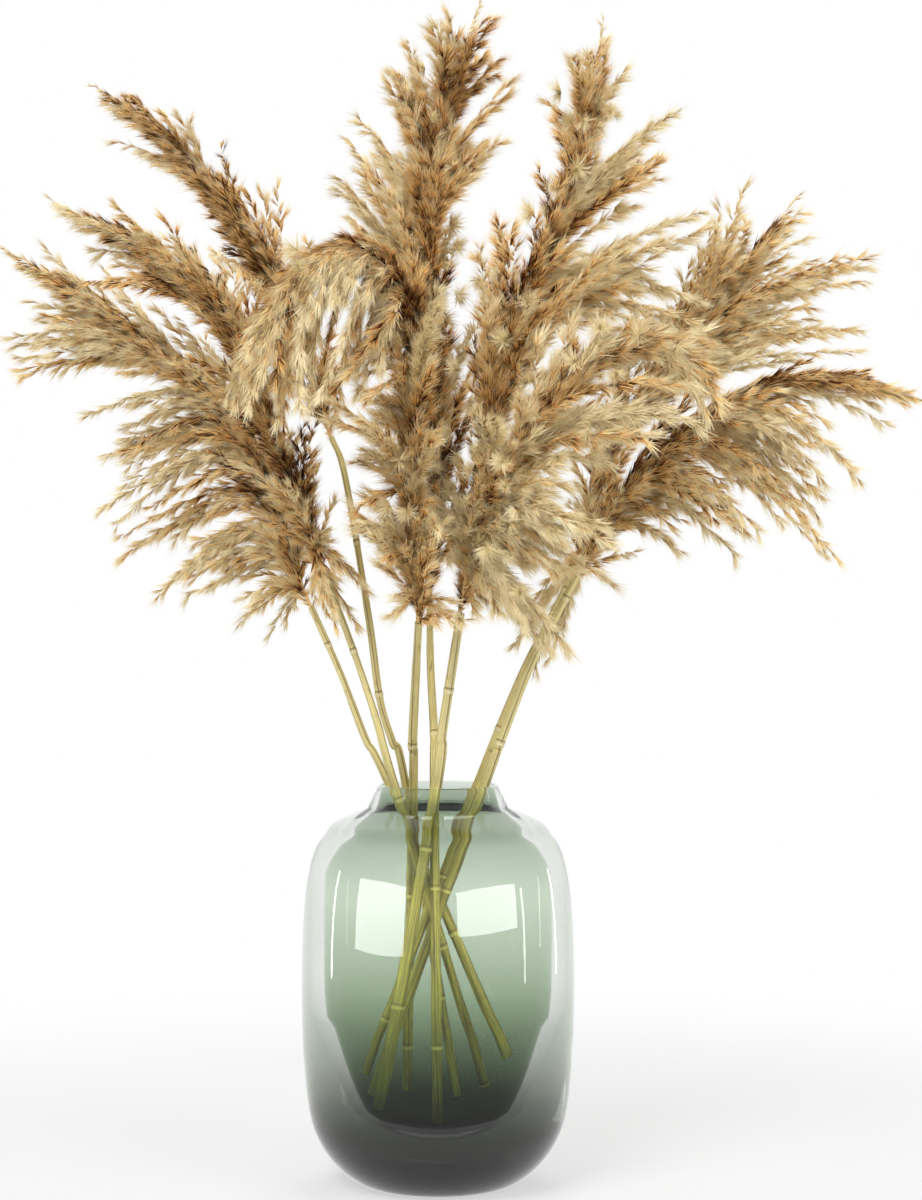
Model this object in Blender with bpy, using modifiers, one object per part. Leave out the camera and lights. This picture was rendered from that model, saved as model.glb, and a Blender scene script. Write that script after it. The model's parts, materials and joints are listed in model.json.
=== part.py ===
"""Dried reed plumes standing in a thick-walled vase of blown glass.

Metres, +Z up. The origin is the centre of the flat foot that the vase rests on, and the front of
the arrangement faces -Y. Each reed is a jointed stem that leans on the rim of the vase, with a
plume of tapered locks at its top. One reed's plume forks into two.
"""

from typing import NamedTuple

import bmesh
import bpy
from mathutils import Vector
from mathutils.geometry import interpolate_bezier

COLLECTION = "vase_of_dried_plumes"
GAP = 0.0004  # between a stem's top and the plume that it carries

# The vase
VASE_HEIGHT = 0.300
VASE_RADIUS = 0.1033
FOOT_RADIUS = 0.056
HEEL_RADIUS = 0.0955  # where the round heel meets the side
HEEL_HEIGHT = 0.045
SHOULDER_RADIUS = 0.089
SHOULDER_DROP = 0.042  # from the rim down to where the shoulder starts
NECK_HEIGHT = 0.018
NECK_ROOT_RADIUS = 0.0533
RIM_RADIUS = 0.0455
RIM_WALL = 0.0026
THROAT_RADIUS = 0.0475
HOLLOW_RADIUS = 0.086
FLOOR_THICKNESS = 0.036
TURN_STEPS = 24

# The reeds
JOINT_SPACING = 0.120  # between the rings on a stem
JOINT_LENGTH = 0.006
JOINT_SWELL = 1.22
JOINT_CLEAR = 2 * JOINT_LENGTH  # no plain point this close to a ring
BARE_TOP = 0.030  # the stem's top has no ring
PLAIN_POINTS = 6  # on a stem, besides those at its rings
LOCK_RINGS = 5
CORE_RINGS = 7
THICK_SIDES = 2  # bevel resolution of a stem and of a plume's core: 8 sides
THIN_SIDES = 1  # bevel resolution of a lock: 6 sides
STRAIGHT_END = 0.012  # a stem's last stretch and its plume's first lie in one line
TIP_RADIUS = 0.0012
SPAN_STEPS = 12  # points between two corners of a smooth path
FOOT_SHARE = 0.75  # a plume starts this share as thick as the stem under it
FULLEST = 0.35  # share of a plume's axis at which its body is thickest
LOCK_LEAN = 0.42  # how far along the axis's way a lock runs before it bends over
LOCK_ROOT = 0.5  # share of a lock's full radius where it leaves the axis


class Reed(NamedTuple):
    """A stem from its cut end in the vase, over the rim and up to the foot of its plume."""

    name: str
    cut_end: tuple
    rim: tuple
    bends: list
    radii: tuple  # at the cut end, at the rim and under the plume
    first_joint: float  # height of the lowest ring along the stem


class Plume(NamedTuple):
    """A plume's main axis from its foot to its tip, with its locks.

    A lock is where it leaves the axis, as a share of the axis's length, and where its tip is.
    """

    name: str
    foot: tuple
    axis: list
    body_radius: float
    lock_radius: float
    locks: list


REEDS = [
    Reed(
        "left_low",
        (0.054, 0.012, 0.088),
        (-0.0375, 0.0005, 0.300),
        [(-0.055, 0.002, 0.334), (-0.074, 0.007, 0.383), (-0.097, 0.015, 0.434)],
        (0.0044, 0.0028, 0.0023),
        0.106,
    ),
    Reed(
        "left_middle",
        (0.037, 0.033, 0.062),
        (-0.0325, -0.016, 0.300),
        [(-0.046, -0.010, 0.348), (-0.063, -0.007, 0.399), (-0.080, -0.008, 0.445), (-0.086, -0.009, 0.460)],
        (0.0036, 0.0030, 0.0022),
        0.120,
    ),
    Reed(
        "left_high",
        (0.0145, 0.0225, 0.056),
        (-0.0255, 0.023, 0.300),
        [(-0.035, 0.021, 0.330), (-0.045, 0.024, 0.364), (-0.054, 0.034, 0.427), (-0.073, 0.053, 0.536),
         (-0.084, 0.060, 0.567)],
        (0.0036, 0.0030, 0.0022),
        0.079,
    ),
    Reed(
        "nodding",
        (-0.025, 0.026, 0.060),
        (-0.0190, 0.0135, 0.300),
        [(-0.0195, 0.008, 0.329), (-0.017, -0.014, 0.376), (-0.014, -0.045, 0.423)],
        (0.0038, 0.0035, 0.0028),
        0.032,
    ),
    Reed(
        "tall",
        (0.000, -0.030, 0.048),
        (-0.0030, -0.0085, 0.300),
        [(-0.003, 0.004, 0.336), (-0.006, 0.026, 0.389), (-0.007, 0.050, 0.440)],
        (0.0039, 0.0033, 0.0025),
        0.0545,
    ),
    Reed(
        "forked",
        (-0.043, -0.0285, 0.060),
        (-0.0010, -0.020, 0.300),
        [(0.003, -0.020, 0.338), (0.008, -0.024, 0.371), (0.017, -0.030, 0.430)],
        (0.0048, 0.0040, 0.0030),
        0.076,
    ),
    Reed(
        "right_high",
        (-0.057, 0.008, 0.076),
        (0.0305, 0.0155, 0.300),
        [(0.0425, 0.013, 0.331), (0.0648, 0.018, 0.384), (0.081, 0.026, 0.416), (0.102, 0.037, 0.455)],
        (0.0036, 0.0035, 0.0024),
        0.045,
    ),
    Reed(
        "right_low",
        (-0.050, -0.0055, 0.064),
        (0.0355, -0.0090, 0.300),
        [(0.0462, -0.008, 0.330), (0.0672, -0.008, 0.384), (0.0825, -0.009, 0.415), (0.106, -0.010, 0.459)],
        (0.0042, 0.0036, 0.0026),
        0.045,
    ),
]

FORK_POINT = (0.020, -0.042, 0.448)  # beside the foot of the upright half

PLUMES = [
    Plume(
        "left_low",
        REEDS[0].bends[-1],
        [(-0.115, 0.020, 0.480), (-0.135, 0.025, 0.540), (-0.165, 0.030, 0.590), (-0.225, 0.035, 0.635),
         (-0.280, 0.035, 0.680), (-0.335, 0.035, 0.710)],
        0.026,
        0.0135,
        [
            (0.62, (-0.335, 0.075, 0.675)),
            (0.58, (-0.325, 0.005, 0.635)),
            (0.54, (-0.335, 0.045, 0.615)),
            (0.40, (-0.265, -0.005, 0.580)),
            (0.34, (-0.260, 0.075, 0.550)),
            (0.28, (-0.255, 0.015, 0.510)),
            (0.18, (-0.245, 0.070, 0.470)),
            (0.12, (-0.215, -0.005, 0.445)),
            (0.08, (-0.190, 0.065, 0.430)),
            (0.22, (-0.110, 0.040, 0.565)),
        ],
    ),
    Plume(
        "left_middle",
        REEDS[1].bends[-1],
        [(-0.105, -0.025, 0.520), (-0.130, -0.040, 0.590), (-0.160, -0.045, 0.645), (-0.200, -0.045, 0.690),
         (-0.285, -0.045, 0.735)],
        0.026,
        0.0135,
        [
            (0.66, (-0.230, -0.085, 0.740)),
            (0.64, (-0.250, -0.020, 0.710)),
            (0.56, (-0.255, -0.060, 0.675)),
            (0.48, (-0.195, -0.105, 0.710)),
            (0.40, (-0.165, -0.020, 0.700)),
            (0.30, (-0.140, -0.100, 0.675)),
            (0.22, (-0.185, -0.105, 0.610)),
            (0.04, (-0.070, -0.025, 0.492)),
        ],
    ),
    Plume(
        "left_high",
        REEDS[2].bends[-1],
        [(-0.105, 0.075, 0.635), (-0.135, 0.090, 0.700), (-0.180, 0.100, 0.765), (-0.225, 0.105, 0.815),
         (-0.275, 0.105, 0.850)],
        0.024,
        0.0125,
        [
            (0.66, (-0.240, 0.080, 0.845)),
            (0.56, (-0.205, 0.080, 0.820)),
            (0.60, (-0.260, 0.145, 0.810)),
            (0.42, (-0.192, 0.078, 0.778)),
            (0.38, (-0.175, 0.115, 0.800)),
            (0.28, (-0.140, 0.070, 0.760)),
            (0.24, (-0.180, 0.150, 0.720)),
            (0.12, (-0.110, 0.140, 0.725)),
        ],
    ),
    Plume(
        "nodding",
        REEDS[3].bends[-1],
        [(-0.020, -0.060, 0.500), (-0.020, -0.070, 0.570), (-0.015, -0.080, 0.635), (-0.030, -0.090, 0.685),
         (-0.065, -0.100, 0.695), (-0.115, -0.110, 0.655), (-0.150, -0.110, 0.585)],
        0.027,
        0.0140,
        [
            (0.74, (-0.158, -0.080, 0.615)),
            (0.69, (-0.130, -0.155, 0.575)),
            (0.63, (-0.110, -0.085, 0.565)),
            (0.58, (-0.080, -0.155, 0.585)),
            (0.54, (-0.058, -0.075, 0.605)),
            (0.22, (-0.070, -0.115, 0.560)),
            (0.07, (-0.055, -0.105, 0.490)),
            (0.11, (0.008, -0.105, 0.490)),
            (0.16, (0.015, -0.120, 0.560)),
            (0.30, (0.012, -0.140, 0.645)),
        ],
    ),
    Plume(
        "tall",
        REEDS[4].bends[-1],
        [(0.000, 0.060, 0.535), (-0.005, 0.070, 0.630), (-0.010, 0.075, 0.705), (-0.005, 0.080, 0.780),
         (0.010, 0.080, 0.850), (0.032, 0.080, 0.910)],
        0.030,
        0.0145,
        [
            (0.80, (0.005, 0.060, 0.897)),
            (0.72, (0.055, 0.120, 0.870)),
            (0.70, (-0.024, 0.100, 0.880)),
            (0.66, (-0.035, 0.055, 0.845)),
            (0.58, (0.060, 0.050, 0.795)),
            (0.54, (-0.065, 0.130, 0.830)),
            (0.42, (-0.090, 0.060, 0.765)),
            (0.44, (0.012, 0.150, 0.745)),
            (0.30, (-0.070, 0.150, 0.750)),
            (0.18, (0.020, 0.140, 0.655)),
        ],
    ),
    Plume(
        "forked_upright",
        REEDS[5].bends[-1],
        [(0.025, -0.015, 0.485), (0.035, 0.000, 0.545), (0.045, 0.010, 0.615), (0.070, 0.020, 0.685),
         (0.100, 0.025, 0.755), (0.115, 0.030, 0.815), (0.127, 0.030, 0.885)],
        0.028,
        0.0145,
        [
            (0.80, (0.105, -0.010, 0.850)),
            (0.76, (0.145, 0.060, 0.850)),
            (0.68, (0.090, 0.065, 0.825)),
            (0.60, (0.178, -0.010, 0.805)),
            (0.56, (0.170, 0.070, 0.785)),
            (0.51, (0.198, 0.030, 0.668)),
            (0.44, (0.205, -0.050, 0.628)),
            (0.38, (0.048, 0.060, 0.730)),
            (0.36, (0.216, 0.035, 0.741)),
            (0.33, (0.206, -0.005, 0.719)),
            (0.30, (0.035, -0.015, 0.705)),
            (0.26, (0.120, -0.025, 0.695)),
        ],
    ),
    Plume(
        "forked_drooping",
        FORK_POINT,
        [(0.030, -0.070, 0.500), (0.060, -0.090, 0.550), (0.100, -0.100, 0.600), (0.145, -0.105, 0.630),
         (0.185, -0.105, 0.620), (0.200, -0.105, 0.580)],
        0.028,
        0.0150,
        [
            (0.52, (0.208, -0.070, 0.625)),
            (0.34, (0.182, -0.155, 0.565)),
            (0.18, (0.120, -0.155, 0.475)),
            (0.12, (0.126, -0.080, 0.455)),
            (0.04, (0.095, -0.070, 0.392)),
            (0.42, (0.100, -0.075, 0.660)),
            (0.22, (0.030, -0.150, 0.575)),
        ],
    ),
    Plume(
        "right_high",
        REEDS[6].bends[-1],
        [(0.125, 0.050, 0.535), (0.155, 0.060, 0.595), (0.200, 0.070, 0.660), (0.245, 0.075, 0.710),
         (0.283, 0.075, 0.758)],
        0.027,
        0.0140,
        [
            (0.52, (0.220, 0.045, 0.748)),
            (0.66, (0.252, 0.125, 0.755)),
            (0.58, (0.298, 0.135, 0.730)),
            (0.50, (0.312, 0.045, 0.705)),
            (0.42, (0.350, 0.080, 0.690)),
            (0.36, (0.330, 0.135, 0.660)),
            (0.30, (0.320, 0.040, 0.635)),
            (0.20, (0.155, 0.115, 0.685)),
        ],
    ),
    Plume(
        "right_low",
        REEDS[7].bends[-1],
        [(0.135, -0.020, 0.515), (0.180, -0.030, 0.565), (0.240, -0.030, 0.600), (0.300, -0.030, 0.605),
         (0.358, -0.030, 0.590)],
        0.027,
        0.0140,
        [
            (0.54, (0.335, -0.005, 0.575)),
            (0.46, (0.305, -0.085, 0.525)),
            (0.38, (0.290, 0.000, 0.480)),
            (0.32, (0.280, -0.050, 0.460)),
            (0.24, (0.230, -0.100, 0.490)),
            (0.18, (0.220, -0.020, 0.475)),
            (0.10, (0.175, -0.045, 0.475)),
        ],
    ),
]


def clear_scene():
    for old in list(bpy.context.scene.objects):
        bpy.data.objects.remove(old, do_unlink=True)


def material(name, colour, roughness, metallic=0.0, transmission=0.0):
    """A plain Principled finish."""
    made = bpy.data.materials.new(name)
    made.use_nodes = True
    made.diffuse_color = (*colour, 1.0)
    shader = made.node_tree.nodes["Principled BSDF"]
    shader.inputs["Base Color"].default_value = (*colour, 1.0)
    shader.inputs["Roughness"].default_value = roughness
    shader.inputs["Metallic"].default_value = metallic
    shader.inputs["Transmission Weight"].default_value = transmission
    return made


def add_object(name, data, finish, smooth_angle=None):
    """Puts mesh or curve data in the part's collection as one object."""
    made = bpy.data.objects.new(name, data)
    data.materials.append(finish)
    bpy.data.collections[COLLECTION].objects.link(made)
    if smooth_angle is not None:
        data.shade_smooth()
        data.set_sharp_from_angle(angle=smooth_angle)
    return made


# Paths


def smooth_path(corners):
    """A smooth curve through the corners, as a dense list of points (Catmull-Rom)."""
    points = [Vector(c) for c in corners]
    ends = [2 * points[0] - points[1], *points, 2 * points[-1] - points[-2]]
    path = []
    for a, b, c, d in zip(ends, ends[1:], ends[2:], ends[3:]):
        out = b + (c - a) / 6
        back = c - (d - b) / 6
        path += interpolate_bezier(b, out, back, c, SPAN_STEPS + 1)[:-1]
    return path + [points[-1]]


def lengths_along(path):
    total = [0.0]
    for a, b in zip(path, path[1:]):
        total.append(total[-1] + (b - a).length)
    return total


def point_at(path, share):
    """The point at this share of the path's length, and the path's direction there."""
    total = lengths_along(path)
    want = share * total[-1]
    for i in range(len(path) - 1):
        if total[i + 1] >= want or i == len(path) - 2:
            step = path[i + 1] - path[i]
            along = (want - total[i]) / (total[i + 1] - total[i])
            return path[i] + step * along, step.normalized()


def tube(name, points, radii, bevel_resolution):
    """A round tube with filled ends, as thick at each point as radii says."""
    curve = bpy.data.curves.new(name, "CURVE")
    curve.dimensions = "3D"
    curve.bevel_depth = 1.0
    curve.bevel_resolution = bevel_resolution
    curve.use_fill_caps = True
    spline = curve.splines.new("POLY")
    spline.points.add(len(points) - 1)
    for target, place, radius in zip(spline.points, points, radii):
        target.co = (*place, 1.0)
        target.radius = radius
    return curve


def as_mesh(curve):
    """The curve's surface as a closed mesh, with its caps welded on."""
    holder = bpy.data.objects.new(curve.name, curve)
    bpy.context.scene.collection.objects.link(holder)
    seen = holder.evaluated_get(bpy.context.evaluated_depsgraph_get())
    mesh = bpy.data.meshes.new_from_object(seen)
    bpy.data.objects.remove(holder, do_unlink=True)
    bpy.data.curves.remove(curve)
    work = bmesh.new()
    work.from_mesh(mesh)
    bmesh.ops.remove_doubles(work, verts=work.verts, dist=1e-6)
    work.to_mesh(mesh)
    work.free()
    return mesh


# The vase


def arc(start, lean, settle, end, count):
    """Points (radius, height) on a Bezier arc, without its last one."""
    return [p.to_2d() for p in interpolate_bezier(*(Vector((*q, 0)) for q in (start, lean, settle, end)), count)][:-1]


def hollow_outline():
    """The inner wall, from the middle of the floor up to the rim."""
    top = VASE_HEIGHT
    bend = (0.0565, 0.0555)
    foot_of_side = (HOLLOW_RADIUS, 0.130)
    top_of_side = (HOLLOW_RADIUS, 0.225)
    throat = (THROAT_RADIUS, top - 0.020)
    inner_rim = (RIM_RADIUS - RIM_WALL, top - 0.001)
    return [
        *arc((0, FLOOR_THICKNESS), (0.022, FLOOR_THICKNESS), (0.043, 0.0425), bend, 4),
        *arc(bend, (0.068, 0.0760), (0.0735, 0.098), foot_of_side, 4),
        *arc(foot_of_side, (0.0866, 0.160), (0.0868, 0.200), top_of_side, 2),
        *arc(top_of_side, (0.0856, 0.256), (0.054, 0.266), throat, 6),
        *arc(throat, (0.0455, 0.285), (0.0440, 0.291), inner_rim, 2),
        Vector(inner_rim),
        Vector((inner_rim[0] + 0.0007, top)),
    ]


def outer_outline():
    """The outer wall, from the rim down to the middle of the foot."""
    top = VASE_HEIGHT
    rim = (RIM_RADIUS, top - 0.001)
    neck_root = (NECK_ROOT_RADIUS, top - NECK_HEIGHT)
    shoulder = (SHOULDER_RADIUS, top - SHOULDER_DROP)
    widest = (VASE_RADIUS, 0.5 * top)
    heel = (HEEL_RADIUS, HEEL_HEIGHT)
    return [
        Vector((rim[0] - 0.0007, top)),
        Vector(rim),
        *arc(neck_root, (0.088, top - 0.032), (0.079, top - 0.0295), shoulder, 6),
        *arc(shoulder, (0.1007, 0.2435), (VASE_RADIUS, 0.193), widest, 5),
        *arc(widest, (VASE_RADIUS, 0.111), (0.102, 0.0695), heel, 4),
        *arc(heel, (0.0873, 0.017), (0.064, 0), (FOOT_RADIUS, 0), 6),
        Vector((FOOT_RADIUS, 0)),
        Vector((0, 0)),
    ]


def build_vase(finish):
    """One outline turned about the upright axis: hollow, rim, outside and flat foot."""
    outline = hollow_outline() + outer_outline()
    mesh = bpy.data.meshes.new("vase")
    points = [(p.x, 0.0, p.y) for p in outline]
    mesh.from_pydata(points, [(i, i + 1) for i in range(len(points) - 1)], [])
    vase = add_object("vase", mesh, finish)
    turn = vase.modifiers.new("Turn", "SCREW")
    turn.axis = "Z"
    turn.steps = TURN_STEPS
    turn.render_steps = TURN_STEPS
    turn.use_merge_vertices = True
    turn.merge_threshold = 0.0001
    turn.use_smooth_shade = True
    return vase


# The reeds


def stem_stations(reed, path):
    """Shares of the stem's length where it has a point: its bends, and three at each ring."""
    length = lengths_along(path)[-1]
    half = JOINT_LENGTH / 2 / length
    rings = []
    height = reed.first_joint
    while height < length - BARE_TOP:
        rings.append(height / length)
        height += JOINT_SPACING
    plain = [i / PLAIN_POINTS for i in range(PLAIN_POINTS)]
    plain = [p for p in plain if all(abs(p - r) * length > JOINT_CLEAR for r in rings)]
    stations = [(p, 1.0) for p in (*plain, 1 - STRAIGHT_END / length, 1.0)]
    for ring in rings:
        stations += [(ring - half, 1.0), (ring, JOINT_SWELL), (ring + half, 1.0)]
    return sorted(stations)


def stem_radius(reed, share, rim_share):
    cut, rim, top = reed.radii
    if share < rim_share:
        return cut + (rim - cut) * share / rim_share
    return rim + (top - rim) * (share - rim_share) / (1 - rim_share)


def stem_points(reed):
    """The stem's points and radii: straight in the vase, then bending up to its plume."""
    path = smooth_path([reed.cut_end, reed.rim, *reed.bends])
    total = lengths_along(path)
    rim_share = total[SPAN_STEPS] / total[-1]
    stations = stem_stations(reed, path)
    points = [point_at(path, share)[0] for share, _ in stations]
    radii = [stem_radius(reed, share, rim_share) * swell for share, swell in stations]
    return points, radii


def build_stem(reed, finish):
    """A jointed stem, and the way that its top end points."""
    points, radii = stem_points(reed)
    add_object("stem_" + reed.name, tube("stem_" + reed.name, points, radii, THIN_SIDES), finish)
    return (points[-1] - points[-2]).normalized()


def core_radius(plume, foot_radius, share):
    """Thin where it leaves the stem, fullest before the middle, and drawn out to the tip."""
    if share < FULLEST:
        fill = share / FULLEST
        return foot_radius + (plume.body_radius - foot_radius) * fill * (2 - fill)
    fade = (share - FULLEST) / (1 - FULLEST)
    return plume.body_radius + (TIP_RADIUS - plume.body_radius) * fade


def lock_path(axis, leave, tip):
    """A lock leaves along the axis and then bends over to its tip."""
    start, way = point_at(axis, leave)
    tip = Vector(tip)
    bend = start + way * LOCK_LEAN * (tip - start).length
    return interpolate_bezier(start, start.lerp(bend, 2 / 3), tip.lerp(bend, 2 / 3), tip, LOCK_RINGS)


def lock_radius(full, share):
    """A lock is a slim spindle, fullest at its middle."""
    if share < 0.5:
        return full * (LOCK_ROOT + 2 * share * (1 - LOCK_ROOT))
    return max(TIP_RADIUS, full * (1 - (2 * share - 1) ** 2))


def join(body, mesh):
    """Adds a mesh to the body, as one closed skin."""
    tool = bpy.data.objects.new("joined_lock", mesh)
    bpy.context.scene.collection.objects.link(tool)
    union = body.modifiers.new("Join", "BOOLEAN")
    union.operation = "UNION"
    union.object = tool
    seen = body.evaluated_get(bpy.context.evaluated_depsgraph_get())
    joined = bpy.data.meshes.new_from_object(seen)
    body.modifiers.remove(union)
    body.data = joined
    bpy.data.objects.remove(tool, do_unlink=True)
    bpy.data.meshes.remove(mesh)


def plume_axis(plume, foot_way):
    """The plume's main axis. It starts a gap past the stem's top, along the stem's own way."""
    start = Vector(plume.foot) + foot_way * GAP
    return smooth_path([start, start + foot_way * STRAIGHT_END, *plume.axis])


def build_plume(plume, foot_way, foot_radius, finish):
    """A spindle along the main axis with its locks joined on."""
    axis = plume_axis(plume, foot_way)
    straight = STRAIGHT_END / lengths_along(axis)[-1]
    shares = [0, straight, *(i / (CORE_RINGS - 1) for i in range(1, CORE_RINGS))]
    points = [point_at(axis, s)[0] for s in shares]
    radii = [core_radius(plume, foot_radius, s) for s in shares]
    name = "plume_" + plume.name
    body = add_object(name, as_mesh(tube(name, points, radii, THICK_SIDES)), finish)
    for leave, tip in plume.locks:
        path = lock_path(axis, leave, tip)
        spread = [lock_radius(plume.lock_radius, i / (LOCK_RINGS - 1)) for i in range(LOCK_RINGS)]
        join(body, as_mesh(tube("lock", path, spread, THIN_SIDES)))
    return body


def main():
    clear_scene()
    collection = bpy.data.collections.new(COLLECTION)
    bpy.context.scene.collection.children.link(collection)

    glass = material("smoked_green_glass", (0.62, 0.74, 0.68), 0.03, transmission=0.9)
    straw = material("olive_straw", (0.58, 0.54, 0.28), 0.55)
    tan_fluff = material("tan_fluff", (0.72, 0.53, 0.33), 0.9)

    build_vase(glass)
    carriers = {reed.name: (reed, build_stem(reed, straw)) for reed in REEDS}
    for plume in PLUMES:
        reed, way = carriers.get(plume.name, carriers["forked"])
        build_plume(plume, way, reed.radii[2] * FOOT_SHARE, tan_fluff)


main()
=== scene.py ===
"""Dried reed plumes standing in a thick vase of blown green glass.

Metres, +Z up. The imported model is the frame: its nodes say where everything is. The vase is one
turned outline. Each stem is a jointed tube swept along its path, and each plume is a branching
stalk set with tufts of husks and silky hairs, both grown by Geometry Nodes.
"""

import json
import math
import random
from typing import NamedTuple

import bmesh
import bpy
from bpy.props import FloatProperty, FloatVectorProperty, IntProperty, PointerProperty
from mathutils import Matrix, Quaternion, Vector
from mathutils.geometry import interpolate_bezier

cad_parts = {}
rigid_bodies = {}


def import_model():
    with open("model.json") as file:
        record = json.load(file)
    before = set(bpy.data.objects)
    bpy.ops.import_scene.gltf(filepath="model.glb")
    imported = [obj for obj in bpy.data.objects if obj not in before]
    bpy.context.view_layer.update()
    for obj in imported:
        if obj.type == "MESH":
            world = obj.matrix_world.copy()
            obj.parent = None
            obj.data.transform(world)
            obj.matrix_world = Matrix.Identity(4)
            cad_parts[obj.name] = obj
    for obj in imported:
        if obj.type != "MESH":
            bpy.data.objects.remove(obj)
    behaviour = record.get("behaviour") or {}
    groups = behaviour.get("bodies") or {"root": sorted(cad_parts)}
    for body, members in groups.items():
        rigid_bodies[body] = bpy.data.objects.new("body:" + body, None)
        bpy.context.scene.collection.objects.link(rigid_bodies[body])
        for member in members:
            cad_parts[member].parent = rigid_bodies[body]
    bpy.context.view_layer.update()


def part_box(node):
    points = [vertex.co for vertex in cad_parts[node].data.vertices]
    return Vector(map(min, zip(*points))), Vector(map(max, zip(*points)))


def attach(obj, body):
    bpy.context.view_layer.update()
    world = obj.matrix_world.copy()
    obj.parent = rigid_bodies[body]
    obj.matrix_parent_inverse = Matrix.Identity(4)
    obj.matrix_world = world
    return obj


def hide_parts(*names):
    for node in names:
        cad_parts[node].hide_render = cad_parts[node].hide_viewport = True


bl_info = {
    "name": "Vase of dried plumes",
    "version": (1, 0, 0),
    "blender": (4, 5, 0),
    "location": "3D View > Sidebar > Plumes",
    "description": "Builds a glass vase with dried reed plumes around its packed frame",
    "category": "Add Mesh",
}

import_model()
ROOT = "root"
FLUFF_MAP = "OFBake"  # the name of a UV map that an export keeps: across is shade, up is root to tip
GAP = 0.0004  # between a stem's top and the plume that it carries
STRAIGHT_END = 0.012  # a stem's last stretch and its plume's first lie in one line
SPAN_STEPS = 12  # points between two corners of a smooth path
FOOT_SHARE = 0.75  # a plume's axis starts this share as thick as the stem under it
FULLEST = 0.35  # share of a plume's axis at which its body is thickest
LOCK_LEAN = 0.42  # how far along the axis's way a lock runs before it bends over
TOP_LOCK = 0.70  # where the axis's own top starts to be bunched like a lock
REACH_IN = 0.016  # a branch ends this far inside its plume's box, because its hairs reach on

VASE_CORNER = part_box("vase")[1]
VASE_HEIGHT = VASE_CORNER.z
VASE_RADIUS = VASE_CORNER.x


class Reed(NamedTuple):
    """A stem from its cut end in the vase, over the rim and up to the foot of its plume."""

    name: str
    cut_end: tuple
    rim: tuple
    bends: list
    radii: tuple  # at the cut end, at the rim and under the plume
    first_joint: float  # height of the lowest ring along the stem


class Plume(NamedTuple):
    """A plume's main axis, and its locks: where each leaves the axis, and where its tip is."""

    name: str
    foot: tuple
    axis: list
    locks: list
    body_radius: float
    lock_radius: float
    kind: str

    @property
    def habit(self):
        return HABITS[self.kind]


class Habit(NamedTuple):
    """How a kind of plume grows and how light it is."""

    tufts: str
    tones: str
    shade: float  # of a middling lock at its root, from 0, dark, to 1, light
    # Partly painted shade: a branch's inner part, near the axis, is kept darker than its paler silky tip
    tip_lift: float  # how much lighter a branch is at its tip
    tip_fullness: float  # size of the tufts at a branch's tip
    foot_lift: float  # how much lighter its lowest locks are
    puffs: int  # bursts of open silk on the plume's surface


# The tables below are in millimetres from the middle of the vase's foot


def metres(lengths):
    """Millimetres as metres, in rows of rows too."""
    if isinstance(lengths, (tuple, list)):
        return type(lengths)(metres(length) for length in lengths)
    return lengths / 1000


def locks(*rows):
    """Rows of where a lock leaves its axis, as a share of the axis's length, and where its tip is."""
    return [(leave, metres(tuple(tip))) for leave, *tip in rows]


REEDS = [Reed(name, *metres(lengths)) for name, *lengths in [
    ("left_low", (54, 12, 88), (-37.5, 0.5, 300), [(-55, 2, 334), (-74, 7, 383), (-97, 15, 434)],
     (4.4, 2.8, 2.3), 106),
    ("left_middle", (37, 33, 62), (-32.5, -16, 300),
     [(-46, -10, 348), (-63, -7, 399), (-80, -8, 445), (-86, -9, 460)],
     (3.6, 3, 2.2), 120),
    ("left_high", (14.5, 22.5, 56), (-25.5, 23, 300),
     [(-35, 21, 330), (-45, 24, 364), (-54, 34, 427), (-73, 53, 536), (-84, 60, 567)],
     (3.6, 3, 2.2), 79),
    ("nodding", (-25, 26, 60), (-19, 13.5, 300),
     [(-19.5, 8, 329), (-17, -14, 376), (-14, -45, 423)],
     (3.8, 3.5, 2.8), 32),
    ("tall", (0, -30, 48), (-3, -8.5, 300), [(-3, 4, 336), (-6, 26, 389), (-7, 50, 440)],
     (3.9, 3.3, 2.5), 54.5),
    ("forked", (-43, -28.5, 60), (-1, -20, 300), [(3, -20, 338), (8, -24, 371), (17, -30, 430)],
     (4.8, 4, 3), 76),
    ("right_high", (-57, 8, 76), (30.5, 15.5, 300),
     [(42.5, 13, 331), (64.8, 18, 384), (81, 26, 416), (102, 37, 455)],
     (3.6, 3.5, 2.4), 45),
    ("right_low", (-50, -5.5, 64), (35.5, -9, 300),
     [(46.2, -8, 330), (67.2, -8, 384), (82.5, -9, 415), (106, -10, 459)],
     (4.2, 3.6, 2.6), 45),
]]

FORK_POINT = metres((20, -42, 448))  # beside the foot of the upright half

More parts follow.
